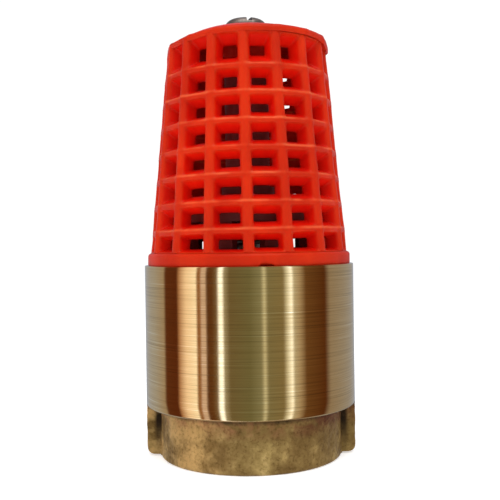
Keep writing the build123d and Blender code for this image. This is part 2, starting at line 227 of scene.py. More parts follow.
# --- Materials ------------------------------------------------------------------------------------
class Paint:
    """A small wrapper for building one procedural material."""

    def __init__(self, name):
        self.material = bpy.data.materials.new(name)
        self.material.use_nodes = True
        self.tree = self.material.node_tree
        self.shader = self.tree.nodes["Principled BSDF"]
        self.place = self.node("ShaderNodeTexCoord").outputs["Object"]

    def node(self, kind, **values):
        made = self.tree.nodes.new(kind)
        for key, value in values.items():
            if key in made.inputs:
                made.inputs[key].default_value = value
            else:
                setattr(made, key, value)
        return made

    def link(self, source, target):
        self.tree.links.new(source, target)

    def set(self, **values):
        for key, value in values.items():
            self.shader.inputs[key.replace("_", " ")].default_value = value

    def stretched(self, x, y, z):
        """Object coordinates scaled along each axis."""
        mapping = self.node("ShaderNodeMapping")
        mapping.inputs["Scale"].default_value = (x, y, z)
        self.link(self.place, mapping.inputs["Vector"])
        return mapping.outputs["Vector"]

    def noise(self, scale, detail=4.0, rough=0.55, place=None, warp=0.0):
        made = self.node("ShaderNodeTexNoise", Scale=scale, Detail=detail, Roughness=rough, Distortion=warp)
        self.link(place or self.place, made.inputs["Vector"])
        return made.outputs["Fac"]

    def ramp(self, source, stops):
        """A colour ramp through (position, colour or grey) stops."""
        made = self.node("ShaderNodeValToRGB")
        ramp = made.color_ramp
        while len(ramp.elements) < len(stops):
            ramp.elements.new(0.5)
        for element, (position, colour) in zip(ramp.elements, stops):
            element.position = position
            value = colour if isinstance(colour, tuple) else (colour, colour, colour)
            element.color = (*value, 1.0)
        self.link(source, made.inputs["Fac"])
        return made.outputs["Color"]

    def mix(self, factor, low, high, blend="MIX"):
        made = self.node("ShaderNodeMix", data_type="RGBA", blend_type=blend)
        for socket, value in ((made.inputs[0], factor), (made.inputs[6], low), (made.inputs[7], high)):
            if isinstance(value, (int, float)):
                socket.default_value = value
            elif isinstance(value, tuple):
                socket.default_value = (*value, 1.0)
            else:
                self.link(value, socket)
        return made.outputs[2]

    def bump(self, *layers):
        """Bumps, each (height source, strength, distance in metres), one on top of the other."""
        normal = None
        for height, strength, distance in layers:
            made = self.node("ShaderNodeBump", Strength=strength, Distance=distance)
            self.link(height, made.inputs["Height"])
            if normal:
                self.link(normal, made.inputs["Normal"])
            normal = made.outputs["Normal"]
        self.link(normal, self.shader.inputs["Normal"])

    def axes(self):
        """Where a point of the piece is along X, Y and Z, in metres."""
        split = self.node("ShaderNodeSeparateXYZ")
        self.link(self.place, split.inputs["Vector"])
        return split.outputs["X"], split.outputs["Y"], split.outputs["Z"]

    def along(self, direction):
        """How far a point of the piece is along a direction."""
        made = self.node("ShaderNodeVectorMath", operation="DOT_PRODUCT")
        self.link(self.place, made.inputs[0])
        made.inputs[1].default_value = direction
        return made.outputs["Value"]

    def from_axis(self):
        """How far a point of the piece is from the valve's axis, in metres."""
        made = self.node("ShaderNodeVectorMath", operation="LENGTH")
        self.link(self.stretched(1, 1, 0), made.inputs[0])
        return made.outputs["Value"]

    def maths(self, operation, first, second=None):
        """One step of arithmetic on a socket, with another socket or a number."""
        made = self.node("ShaderNodeMath", operation=operation)
        self.link(first, made.inputs[0])
        if isinstance(second, float):
            made.inputs[1].default_value = second
        elif second is not None:
            self.link(second, made.inputs[1])
        return made.outputs[0]

    def reach(self, source, start, end, low=0.0, high=1.0):
        """A value that runs from low to high while its source runs from start to end."""
        made = self.node("ShaderNodeMapRange")
        for name, value in (("From Min", start), ("From Max", end), ("To Min", low), ("To Max", high)):
            made.inputs[name].default_value = value
        self.link(source, made.inputs["Value"])
        return made.outputs["Result"]

    def both(self, first, *others):
        """Colours or masks multiplied together."""
        for other in others:
            first = self.mix(1.0, first, other, "MULTIPLY")
        return first

    def finish(self, colour, roughness):
        """Joins the colour and the roughness to the shader, and gives the material."""
        self.link(colour, self.shader.inputs["Base Color"])
        self.link(roughness, self.shader.inputs["Roughness"])
        return self.material


def red_plastic():
    """Soft moulded plastic, more orange outside, with a painted red glow deep in the windows and a painted
    highlight along the rings' top edges.
    """
    paint = Paint("red_plastic")
    paint.set(Subsurface_Weight=0.25, Subsurface_Scale=0.0012, Subsurface_Radius=(1.0, 0.06, 0.02))
    paint.set(IOR=1.49, Specular_IOR_Level=0.2, Specular_Tint=(1.0, 0.62, 0.42, 1.0))
    flow = paint.noise(120.0, 3.0, 0.6, paint.stretched(1, 1, 0.45), 0.6)
    grain = paint.noise(2600.0, 2.0, 0.5)
    # Painted light: deeper in the windows the red is brighter and purer, a painted glow of the light that
    # the red walls pass and throw back into them.
    painted_window_glow = paint.ramp(flow, [
        (0.3, (0.60, 0.004, 0.001)),
        (0.55, (0.70, 0.006, 0.001)),
        (0.75, (0.76, 0.010, 0.002)),
    ])
    skin = paint.ramp(flow, [
        (0.3, (0.48, 0.014, 0.002)),
        (0.55, (0.57, 0.021, 0.003)),
        (0.75, (0.64, 0.028, 0.004)),
    ])
    height = paint.axes()[2]
    cone = paint.reach(height, FLANGE_TOP * MM, BASKET_TOP * MM, CONE_FOOT_R * MM, CONE_TOP_R * MM)
    depth = paint.maths("SUBTRACT", cone, paint.from_axis())
    colour = paint.mix(paint.reach(depth, 0.1 * MM, 1.0 * MM), skin, painted_window_glow)

    # Painted highlight: a pale line along the top edge of each ring, broken up by noise and kept to the
    # cone's middle, stands in for the light those rounded edges catch.
    ring_edge = FIRST_ROW + 0.42
    level = paint.along((-TILT / MM, 0.0, 1 / MM))
    from_edge = paint.maths("PINGPONG", paint.maths("SUBTRACT", level, ring_edge), ROW_PITCH / 2)
    painted_highlight_line = paint.ramp(from_edge, [(0.05, 0.55), (0.42, 0.0)])
    highlight_gaps = paint.ramp(paint.noise(160.0, 2.0), [(0.42, 0.15), (0.6, 1.0)])
    highlight_height_band = paint.ramp(height, [
        ((FLANGE_TOP + 2.0) * MM, 0.0),
        ((FLANGE_TOP + 3.5) * MM, 1.0),
        ((BASKET_TOP - 4.3) * MM, 1.0),
        ((BASKET_TOP - 2.8) * MM, 0.0),
    ])
    colour = paint.mix(paint.both(painted_highlight_line, highlight_gaps, highlight_height_band), colour, (0.86, 0.16, 0.055))
    roughness = paint.ramp(flow, [(0.3, 0.48), (0.7, 0.36)])
    paint.bump((flow, 0.25, 0.0003), (grain, 0.12, 0.00004))
    return paint.finish(colour, roughness)


def turned_brass(name, base, bright, rough=(0.04, 0.10), lines=0.10):
    """Brass off the lathe: fine rings of tool marks, with a few bright and a few dull ones."""
    paint = Paint(name)
    paint.set(Metallic=1.0, Anisotropic=0.25)
    fine = paint.noise(1.0, 2.0, 0.7, paint.stretched(30, 30, 5200))
    coarse = paint.noise(1.0, 3.0, 0.7, paint.stretched(16, 16, 1300))
    patch = paint.noise(60.0, 4.0, 0.6)
    dull = tuple(c * 0.72 for c in base)
    colour = paint.ramp(fine, [(0.3, dull), (0.48, base), (0.6, base), (0.72, bright)])
    ringed = paint.ramp(coarse, [(0.32, (0.90, 0.88, 0.84)), (0.42, (1.0, 1.0, 1.0))])
    tarnish = paint.ramp(patch, [(0.4, (1.0, 1.0, 1.0)), (0.75, (0.92, 0.87, 0.8))])
    colour = paint.both(colour, ringed, tarnish)
    roughness = paint.ramp(paint.mix(0.5, fine, coarse), [(0.35, rough[1]), (0.6, rough[0])])
    paint.bump((coarse, 1.3 * lines, 0.00004), (fine, 0.9 * lines, 0.00002))
    return paint.finish(colour, roughness)


def cast_brass():
    """The collar as cast: rough and mottled, pinker under the shoulder, lighter towards -X and darker on
    its upper right, with a painted shadow under the body's edge and painted shade beside the lugs.
    """
    paint = Paint("cast_brass")
    paint.set(Metallic=0.6, Specular_IOR_Level=0.4)
    lumps = paint.noise(190.0, 5.0, 0.62)
    sand = paint.noise(1500.0, 4.0, 0.7)
    stain = paint.noise(180.0, 6.0, 0.65, None, 0.8)
    colour = paint.ramp(lumps, [
        (0.34, (0.23, 0.135, 0.038)),
        (0.5, (0.34, 0.22, 0.07)),
        (0.64, (0.56, 0.39, 0.14)),
        (0.74, (0.80, 0.60, 0.27)),
    ])
    across, front, height = paint.axes()
    sideways = paint.maths("ABSOLUTE", across)
    from_middle = paint.maths("ABSOLUTE", front)

    stained = paint.ramp(stain, [(0.42, 0.0), (0.58, 1.0)])
    shoulder = paint.both(paint.reach(height, 0.0070, 0.0108), stained)
    colour = paint.mix(shoulder, colour, (0.50, 0.22, 0.10))
    # Lighter patches towards -X, on the camera's left side of the collar.
    lighter_left = paint.both(paint.reach(across, -0.004, -0.014), paint.ramp(lumps, [(0.4, 0.0), (0.6, 0.8)]))
    colour = paint.mix(lighter_left, colour, (0.72, 0.47, 0.18))
    # Darker patches on the collar's upper right.
    upper_right = paint.both(paint.reach(across, 0.006, 0.012), paint.reach(height, 0.0066, 0.0092))
    darker_upper_right = paint.both(upper_right, paint.ramp(stain, [(0.4, 0.2), (0.6, 0.9)]))
    colour = paint.mix(darker_upper_right, colour, (0.13, 0.035, 0.012))
    # Painted shadow: a dark band just under the body's overhanging edge, where its shadow falls on the
    # collar.
    painted_shadow_under_body = paint.both(paint.reach(height, 0.0102, 0.0110), paint.ramp(stain, [(0.4, 0.9), (0.62, 0.3)]))
    colour = paint.mix(painted_shadow_under_body, colour, (0.05, 0.03, 0.012))
    # Painted shade: dark strips on the collar beside each lug, in the cleft that the lug's side leaves in
    # shade.
    cleft_and_painted_shade = paint.both(
        paint.reach(height, 0.0010, 0.0075),
        paint.ramp(stain, [(0.45, 1.0), (0.66, 0.65)]),
        paint.reach(sideways, 0.0218, 0.0211),
        paint.reach(from_middle, 0.0048, 0.0036),
        paint.reach(sideways, 0.0188, 0.0196),
    )
    colour = paint.mix(cleft_and_painted_shade, colour, (0.035, 0.018, 0.007))
    pits = paint.ramp(sand, [(0.3, (0.6, 0.55, 0.5)), (0.48, (1.0, 1.0, 1.0))])
    colour = paint.both(colour, pits)
    roughness = paint.ramp(sand, [(0.3, 0.6), (0.65, 0.42)])
    paint.bump((lumps, 0.6, 0.0005), (sand, 0.5, 0.0001))
    return paint.finish(colour, roughness)


def steel(name, base, rough):
    """Plain or plated steel, blotched and finely scratched."""
    tint_spread = 0.12
    paint = Paint(name)
    paint.set(Metallic=1.0)
    blotch = paint.noise(420.0, 5.0, 0.65)
    scratches = paint.noise(1.0, 3.0, 0.6, paint.stretched(300, 2600, 2600))
    dark = tuple(c * (1 - 3 * tint_spread) for c in base)
    bright = tuple(min(1.0, c * (1 + tint_spread)) for c in base)
    colour = paint.ramp(blotch, [(0.32, dark), (0.5, base), (0.7, bright)])
    roughness = paint.ramp(paint.mix(0.5, blotch, scratches), [(0.35, rough + 0.14), (0.62, rough)])
    paint.bump((scratches, 0.15, 0.00005), (blotch, 0.2, 0.00006))
    return paint.finish(colour, roughness)


def moulded(name, dark, light, rough, grain_scale=1800.0, grain_bump=0.25):
    """Black plastic, rubber or sheet gasket."""
    paint = Paint(name)
    cloud = paint.noise(150.0, 4.0, 0.6)
    grain = paint.noise(grain_scale, 3.0, 0.6)
    colour = paint.ramp(cloud, [(0.35, dark), (0.7, light)])
    roughness = paint.ramp(grain, [(0.35, rough + 0.12), (0.65, rough)])
    paint.bump((cloud, 0.15, 0.0002), (grain, grain_bump, 0.00005))
    return paint.finish(colour, roughness)


RED = red_plastic()
TURNED = turned_brass("turned_brass", (0.8, 0.63, 0.34), (1.0, 0.9, 0.62))
CAST = cast_brass()
BORED = turned_brass("bored_brass", (0.62, 0.45, 0.2), (0.74, 0.58, 0.3), (0.26, 0.42), 0.2)
INNER = turned_brass("inner_brass", (0.76, 0.57, 0.27), (0.86, 0.7, 0.4), (0.2, 0.36), 0.14)
ZINC = steel("zinc_steel", (0.25, 0.215, 0.195), 0.42)
STAINLESS = steel("stainless_steel", (0.6, 0.59, 0.57), 0.26)
SPRING_STEEL = steel("spring_steel", (0.48, 0.48, 0.49), 0.3)
# Dark nylon with painted red light: its dark red tint stands in for the red light that the basket's plastic
# lets in.
NYLON_WITH_PAINTED_RED_LIGHT = moulded("dark_nylon_with_painted_red_light", (0.20, 0.005, 0.004), (0.31, 0.009, 0.006), 0.5)
RUBBER = moulded("seal_rubber", (0.012, 0.012, 0.012), (0.03, 0.029, 0.028), 0.62, 2600.0, 0.4)
FIBRE = moulded("gasket_fibre", (0.03, 0.035, 0.03), (0.06, 0.065, 0.055), 0.7, 3200.0, 0.5)


# --- Valve body -----------------------------------------------------------------------------------
def lug_reach(z):
    """How far a wrench lug reaches at a height: round at its foot."""
    if z < LUG_FOOT:
        return COLLAR_R
    rise = max(0.0, LUG_ROUND - (z - LUG_FOOT))
    return LUG_REACH - LUG_ROUND + math.sqrt(LUG_ROUND ** 2 - rise ** 2)


def cast_radius(r, z, angle):
    """The collar's skin: wrench lugs on X, and the sand mould's unevenness."""
    across = abs(math.sin(angle)) * (LUG_REACH + COLLAR_R) / 2
    rise = 1 - smoothstep(LUG_HALF - 0.25, LUG_HALF + 0.35, across)
    reach = lug_reach(z) / abs(math.cos(angle)) if rise > 0 else r
    radius = r + max(0.0, reach - r) * rise
    spot = Vector((radius * math.cos(angle), radius * math.sin(angle), z))
    rough = 0.10 * noise.noise(spot * 0.3)
    rough += 0.07 * noise.noise(spot * 0.9)
    rough += 0.035 * noise.noise(spot * 2.4)
    edge = smoothstep(0.0, 1.2, z) * (1 - smoothstep(COLLAR_TOP - 0.5, COLLAR_TOP, z))
    # A real groove beside each lug; the cast material paints shade into it.
    cleft_and_painted_shade = 0.45 * smoothstep(4.2, 6.0, z) * (1 - smoothstep(0.25, 0.8, abs(across - LUG_HALF - 0.55)))
    beside_lug = abs(math.cos(angle)) > 0.7
    return radius + (rough - 0.06) * (0.25 + 0.75 * edge) - (cleft_and_painted_shade if beside_lug else 0)


def thread_radius(z, angle):
    """The G1 thread's bore: a rounded 55 degree groove, running out at its inner end."""
    phase = (z / THREAD_PITCH - angle / TURN) % 1.0
    away = abs(phase - 0.5) * THREAD_PITCH
    depth = THREAD_MAJOR - THREAD_MINOR
    groove = depth * (0.5 + 0.5 * math.cos(min(math.pi, math.pi * away / 0.95)))
    sharp = max(0.0, min(depth, (0.92 - away) / math.tan(math.radians(27.5))))
    cut = (0.35 * groove + 0.65 * sharp) * (1 - smoothstep(THREAD_END - 2.4, THREAD_END - 0.4, z))
    cone = THREAD_MINOR + MOUTH - z
    return max(THREAD_MINOR + cut, cone)


def lug_angles():
    """Angles round the body, closer together at the sides of the two lugs."""
    angles = set(round(a, 6) for a in steps(240))
    for centre in (0.0, math.pi):
        for side in (-1, 1):
            for k in range(15):
                across = LUG_HALF - 0.35 + 0.8 * k / 14
                offset = side * math.asin(across / ((LUG_REACH + COLLAR_R) / 2))
                angles.add(round((centre + offset) % TURN, 6))
    return sorted(angles)


def skin_radius(surface, r, z, angle):
    """A loop's radius at an angle: only the cast skin and the thread aren't plain circles."""
    if surface == "cast":
        return cast_radius(r, z, angle)
    if surface == "thread":
        return thread_radius(z, angle)
    return r


def valve_body():
    """One closed skin of (r, z, surface) rows: up the outside, over the top and down the bore."""
    foot_round = 0.8
    foot_r = COLLAR_R - foot_round
    rows = [(THREAD_MINOR + MOUTH, 0.0, "bored"), (foot_r, 0.0, "bored")]
    for k in range(1, 4):
        turn = math.pi / 2 * k / 5
        height = foot_round - foot_round * math.cos(turn)
        rows.append((foot_r + foot_round * math.sin(turn), height, "cast"))
    for height in [0.36, 0.41, 0.5, 0.65] + spread(0.85, COLLAR_TOP - 0.05, 44):
        below = max(0.0, foot_round - height)
        rows.append((foot_r + math.sqrt(foot_round ** 2 - below ** 2), height, "cast"))
    rows += [(COLLAR_R - 0.02, COLLAR_TOP, "turned"), (BODY_R - 0.35, COLLAR_TOP, "turned")]
    rows += [(BODY_R - 0.27, COLLAR_TOP + 0.03, "turned"), (BODY_R - 0.03, COLLAR_TOP + 0.27, "turned")]
    rows += [(BODY_R, h, "turned") for h in spread(COLLAR_TOP + 0.36, BODY_TOP - 0.14, 12)]
    rows += [(BODY_R - 0.03, BODY_TOP - 0.05, "turned"), (BODY_R - 0.12, BODY_TOP, "turned")]
    rows += [(SPIGOT_BORE + 0.15, BODY_TOP, "turned")]
    rows += [(SPIGOT_BORE, BODY_TOP - 0.15, "bored"), (SPIGOT_BORE, SPIGOT_LEDGE, "bored")]
    rows += [(BUSH_BORE, SPIGOT_LEDGE, "bored"), (BUSH_BORE, LEDGE, "bored"), (CHAMBER_R, LEDGE, "bored")]
    rows += [(CHAMBER_R, h, "bored") for h in spread(LEDGE - 0.3, CHAMBER_FLOOR + 0.4, 4)]
    rows += [(CHAMBER_R - 0.15, CHAMBER_FLOOR + 0.08, "bored")]
    rows += [(THREAD_MINOR + 0.1, THREAD_END + 0.12, "bored")]
    rows += [(THREAD_MINOR, h, "thread") for h in reversed(spread(0.12, THREAD_END - 0.1, 110))]

    shell = Shell()
    angles = lug_angles()
    loops = []
    for r, z, surface in rows:
        loops.append(shell.uneven_ring([skin_radius(surface, r, z, a) for a in angles], z, angles))
    slots = {"cast": 0, "bored": 1, "thread": 1, "turned": 2}
    shell.closed_skin(loops, [slots[surface] for _, _, surface in rows])
    piece = shell.piece("valve_body_brass", [CAST, BORED, TURNED], 42.0)
    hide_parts("valve_body")
    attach(piece, "valve")


# --- Strainer basket ------------------------------------------------------------------------------
SIDE = 10            # points along each side of a window's frame
RIB, RING = 2.25, 1.25
INNER_RIB, WINDOW_HIGH = 2.75, 1.85


def cone_radius(z):
    """The basket's outer skin between its flange and its top, leaving out the ribs."""
    return CONE_FOOT_R - (CONE_FOOT_R - CONE_TOP_R) * (z - FLANGE_TOP) / (BASKET_TOP - FLANGE_TOP)


def rib_crown(angle, z):
    """The upright ribs stand a little proud, with a soft swelling where a ring crosses them."""
    away = abs((angle / CELL + 0.5) % 1.0 - 0.5) * CELL * cone_radius(z)
    ring_away = abs(((z - FIRST_ROW) / ROW_PITCH + 0.5) % 1.0 - 0.5) * ROW_PITCH
    swell = 0.07 * (1 - smoothstep(0.3, 1.0, ring_away))
    return (0.26 + swell) * (1 - smoothstep(0.25, 1.1, away))


def wobble(x, y, z):
    """The slight unevenness of a soft moulding, worked out apart for each axis so that it repeats."""
    shifts = []
    for start in (17.3, 31.7, 47.9):
        spot = Vector((x, y, z)) * 0.11 + Vector((start, 2 * start, 3 * start))
        shifts.append(noise.noise(spot) * 0.16 + noise.noise(spot * 3.7) * 0.05)
    return Vector(shifts)


def moulded_point(angle, z, depth):
    """A point under the skin, leaning with the ribs, tilted with the rings and moved by the wobble."""
    r = cone_radius(z) - depth
    angle -= TWIST * (z - FLANGE_TOP) / (BASKET_TOP - FLANGE_TOP)
    x, y = r * math.cos(angle), r * math.sin(angle)
    ease = smoothstep(FLANGE_TOP, FLANGE_TOP + 4, z) * (1 - smoothstep(BASKET_TOP - 3, BASKET_TOP, z))
    shift = wobble(x, y, z) * ease
    return x + shift.x, y + shift.y, z + shift.z + x * TILT * ease


def frame_loop(half_wide, half_high, corner):
    """A rectangle's outline with round corners, 4 * SIDE points, anticlockwise from its lower left."""
    square = [(-1 + 2 * i / SIDE, -1.0) for i in range(SIDE)]
    square += [(1.0, -1 + 2 * i / SIDE) for i in range(SIDE)]
    square += [(-u, -v) for u, v in square]
    loop = []
    for u, v in square:
        x, y = u * half_wide, v * half_high
        inner_x, inner_y = half_wide - corner, half_high - corner
        if corner > 0 and abs(x) > inner_x and abs(y) > inner_y:
            over = Vector((abs(x) - inner_x, abs(y) - inner_y)).normalized() * corner
            x = math.copysign(inner_x + over.x, x)
            y = math.copysign(inner_y + over.y, y)
        loop.append((x, y))
    return loop


def row_edges(row):
    """The heights where a row of cells starts and ends, and how much of that is left solid at each end."""
    low, high = FIRST_ROW + row * ROW_PITCH, FIRST_ROW + (row + 1) * ROW_PITCH
    under, over = RING / 2, RING / 2
    if row == 0:
        low, under = FLANGE_TOP, 0.12
    if row == ROWS - 1:
        high, over = BASKET_TOP, 0.4
    return low, high, low + under, high - over


def blend(a, b, t):
    return a + (b - a) * t


def basket_cell(shell, column, row, rng):
    """One window with half of each rib and ring round it, from the outer skin to the inner one."""
    low, high, sill, lintel = row_edges(row)
    middle_z, half_z = (low + high) / 2, (high - low) / 2
    window_z, window_half = (sill + lintel) / 2, (lintel - sill) / 2
    middle_a = (column + 0.5) * CELL
    arc = cone_radius(middle_z) * CELL
    wide = (arc - RIB) / 2
    in_wide = (arc - INNER_RIB - 0.09 * row) / 2 + rng.uniform(-0.18, 0.18)
    in_high = WINDOW_HIGH / 2 + rng.uniform(-0.16, 0.2) + (0.25 if row == ROWS - 1 else 0.0)
    slip_x, slip_z = rng.uniform(-0.14, 0.14), rng.uniform(-0.14, 0.1) - 0.2
    skew = rng.uniform(-0.04, 0.04)
    grow = rng.uniform(-0.06, 0.06)
    wide_out, high_out = wide + grow, window_half + grow
    loops = []

    def add(half_w, centre, half_h, corner, depth, share=0.0):
        ring = []
        for x, y in frame_loop(half_w, half_h, corner):
            z = centre + y + slip_z * share
            angle = middle_a + (x + (slip_x + skew * y) * share) * CELL / arc
            crown = rib_crown(angle, z) if depth < WALL / 2 else 0.0
            ring.append(moulded_point(angle, z, depth - crown))
        loops.append(shell.loop(ring))

    corner, lip = 0.55, 0.36
    for t, depth in ((0.0, 0.0), (0.3, 0.0), (0.55, 0.02), (0.75, 0.07), (0.9, 0.19), (1.0, lip)):
        half_w, half_h = blend(arc / 2, wide_out, t), blend(half_z, high_out, t)
        add(half_w, blend(middle_z, window_z, t), half_h, corner * t, depth)
    for t in (0.22, 0.5, 0.8):
        half_w, half_h = blend(wide_out, in_wide, t), blend(high_out, in_high, t)
        add(half_w, window_z, half_h, corner - 0.15 * t, lip + (WALL - 2 * lip) * t, t)
    add(in_wide, window_z, in_high, 0.35, WALL - 0.32, 1.0)
    add(in_wide + 0.02, window_z, in_high + 0.02, 0.36, WALL - 0.14, 1.0)
    add(in_wide + 0.12, window_z, in_high + 0.12, 0.4, WALL - 0.03, 1.0)
    half_w, half_h = blend(in_wide, arc / 2, 0.5), blend(in_high, half_z, 0.5)
    add(half_w, blend(window_z, middle_z, 0.5), half_h, 0.2, WALL, 0.4)
    add(arc / 2, middle_z, half_z, 0.0, WALL)
    shell.sleeve(loops)


def strainer_basket():
    """The cells round the cone, joined to the flange and spigot below and to a plain band above."""
    shell = Shell()
    rng = random.Random(11)
    for column in range(COLUMNS):
        for row in range(ROWS):
            basket_cell(shell, column, row, rng)
    angles = steps(COLUMNS * SIDE)

    def ring(r, z, crown=0.0):
        return shell.uneven_ring([r + crown * rib_crown(a, z) for a in angles], z, angles)

    nick_angle, nick_half = math.atan2(-FLANGE_R, 3.5) % TURN, 1.2 / FLANGE_R

    def rim(r, z):
        """The flange's rim, slightly wavy, with the pry nick in its lower edge."""
        points = []
        for a in angles:
            wave = 0.07 * noise.noise(Vector((math.cos(a) * 2.2, math.sin(a) * 2.2, z * 0.3)))
            in_nick = 1 - smoothstep(nick_half * 0.6, nick_half * 1.3, abs(a - nick_angle))
            lift = 0.6 * in_nick * (1 - smoothstep(BODY_TOP + 0.3, BODY_TOP + 1.3, z))
            radius = r + wave - 0.05
            points.append((radius * math.cos(a), radius * math.sin(a), z + lift))
        return shell.loop(points)

    foot = [ring(cone_radius(FLANGE_TOP), FLANGE_TOP, 1.0), ring(CONE_FOOT_R + 0.3, FLANGE_TOP - 0.08)]
    rim_round = 0.75
    for k in range(7):
        turn = math.pi / 2 * k / 6
        height = FLANGE_TOP - 0.1 - rim_round + rim_round * math.cos(turn)
        foot.append(rim(FLANGE_R - rim_round + rim_round * math.sin(turn), height))
    foot += [rim(FLANGE_R, z) for z in (FLANGE_TOP - 1.3, BODY_TOP + 1.0, BODY_TOP + 0.5, BODY_TOP + 0.12)]
    foot += [rim(FLANGE_R - 0.12, BODY_TOP + 0.02), ring(SPIGOT_R, BODY_TOP), ring(SPIGOT_R, 39.75)]
    foot += [ring(SPIGOT_R - 0.15, 39.6), ring(SPIGOT_INNER + 0.15, 39.6), ring(SPIGOT_INNER, 39.75)]
    foot += [ring(SPIGOT_INNER, BODY_TOP), ring(cone_radius(FLANGE_TOP) - WALL, FLANGE_TOP)]
    head = [ring(CONE_TOP_R, BASKET_TOP, 1.0), ring(CONE_TOP_R - WALL, BASKET_TOP)]
    shell.sleeve(foot)
    shell.sleeve(head)
    piece = shell.piece("strainer_basket_moulding", [RED], 50.0)
    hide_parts("strainer_basket")
    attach(piece, "valve")


# --- Strainer cap ---------------------------------------------------------------------------------
def strainer_cap():
    """A domed moulding, hollow underneath, with a boss for the screw and a pocket for its head."""
    shell = Shell()
    angles = steps(COLUMNS * SIDE)
    shoulder, crown_high, power = 92.3, 3.2, 2.5
    edge_wide, edge_high, roof = 1.1, 0.9, 2.2
    pocket_r, pocket_floor = 5.8, 94.2
    boss_r, boss_bore, boss_foot = 6.4, 3.2, 88.5
    spigot_r, spigot_bore, spigot_foot = 13.6, 12.0, 90.2

    def crown(r):
        return shoulder + crown_high * (1 - (r / CAP_R) ** power)

    def rim_point(r, z, a):
        """Short stubs of the ribs run up the rim, its left side sinks, and its right side droops."""
        away = abs((a / CELL + 0.5) % 1.0 - 0.5) * CELL * r
        stub = 0.24 * (1 - smoothstep(0.3, 1.1, away)) * smoothstep(16.6, 17.5, r)
        right = smoothstep(0.75, 1.0, math.cos(a - 0.12))
        left = smoothstep(0.1, 1.0, -math.cos(a))
        lower_edge = 1 - smoothstep(BASKET_TOP + 0.3, BASKET_TOP + 1.6, z)
        outer_part = smoothstep(14, 17, r)
        droop = 1.15 * right * lower_edge * smoothstep(17.2, 17.6, r)
        sink = 0.85 * left * smoothstep(10, 17.5, r)
        wave = 0.10 * noise.noise(Vector((math.cos(a) * 1.8, math.sin(a) * 1.8, 3.1))) * outer_part
        radius = r + stub + 0.12 * right * smoothstep(17, 17.8, r)
        x, y = radius * math.cos(a), radius * math.sin(a)
        return CAP_SHIFT + x, y, z - droop + wave + x * TILT * outer_part - sink

    profile = [(spigot_r, BASKET_TOP), (17.55, BASKET_TOP)]
    profile += [(17.62, BASKET_TOP - 0.14), (17.76, BASKET_TOP - 0.15)]
    profile += [(CAP_R - 0.02, BASKET_TOP + 0.02), (CAP_R, BASKET_TOP + 0.6)]
    edge_r = CAP_R - edge_wide
    edge_z = crown(edge_r) - edge_high
    for k in range(1, 6):
        turn = math.pi / 2 * k / 5
        profile.append((edge_r + edge_wide * math.cos(turn), edge_z + edge_high * math.sin(turn)))
    profile += [(r, crown(r)) for r in spread(16.2, pocket_r + 0.6, 12)]
    profile += [(pocket_r + 0.3, crown(pocket_r + 0.3) - 0.02)]
    profile += [(pocket_r + 0.08, crown(pocket_r + 0.1) - 0.12), (pocket_r, crown(pocket_r) - 0.35)]
    profile += [(pocket_r, pocket_floor + 0.15), (pocket_r - 0.15, pocket_floor)]
    profile += [(boss_bore + 0.15, pocket_floor), (boss_bore, pocket_floor - 0.15)]
    profile += [(boss_bore, boss_foot + 0.2), (boss_bore + 0.15, boss_foot)]
    profile += [(boss_r - 0.15, boss_foot), (boss_r, boss_foot + 0.15)]
    profile += [(boss_r, pocket_floor - 1.4), (boss_r + 1.0, pocket_floor - 0.9)]
    profile += [(r, crown(r) - roof) for r in (9.0, 10.5, 11.8)]
    profile += [(spigot_bore, crown(spigot_bore) - roof - 0.3), (spigot_bore, spigot_foot + 0.15)]
    profile += [(spigot_bore + 0.15, spigot_foot), (spigot_r - 0.1, spigot_foot)]
    profile += [(spigot_r, spigot_foot + 0.15)]
    shell.closed_skin([shell.loop([rim_point(r, z, a) for a in angles]) for r, z in profile])
    piece = shell.piece("strainer_cap_moulding", [RED], 50.0)
    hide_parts("strainer_cap")
    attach(piece, "valve")


# --- Screws, stem and spring ----------------------------------------------------------------------
def threaded_rod(shell, radius, pitch, low, high, segments):
    """The side of a rod with a real helical thread cut into it, from low to high; gives its lowest loop."""
    per_turn, runout, depth = 8, 0.8, 0.61 * pitch
    angles = steps(segments)
    loops = []
    for z in spread(low, high, int((high - low) / pitch * per_turn)):
        radii = []
        for a in angles:
            phase = (z / pitch - a / TURN) % 1.0
            cut = depth * (0.5 + 0.5 * math.cos(TURN * phase)) ** 1.2
            cut *= 1 - smoothstep(high - runout, high, z)
            radii.append(min(radius - cut, radius - 0.55 * pitch + max(0.0, z - low)))
        loops.append(shell.uneven_ring(radii, z, angles))
    shell.sleeve(loops)
    return loops[0]


def lathe(shell, profile, segments):
    """An open turned surface through a list of (r, z) points; gives its last loop."""
    angles = steps(segments)
    loops = [shell.ring(r, z, angles) for r, z in profile]
    shell.sleeve(loops)
    return loops[-1]


def cut_with(piece, cutter):
    """Takes the cutter's shape out of the piece for good."""
    tool = piece.modifiers.new("cut", "BOOLEAN")
    tool.operation = "DIFFERENCE"
    tool.solver = "EXACT"
    tool.object = cutter
    bpy.context.view_layer.update()
    made = bpy.data.meshes.new_from_object(piece.evaluated_get(bpy.context.evaluated_depsgraph_get()))
    piece.modifiers.remove(tool)
    old = piece.data
    piece.data = made
    bpy.data.meshes.remove(old)
    bpy.data.objects.remove(cutter)


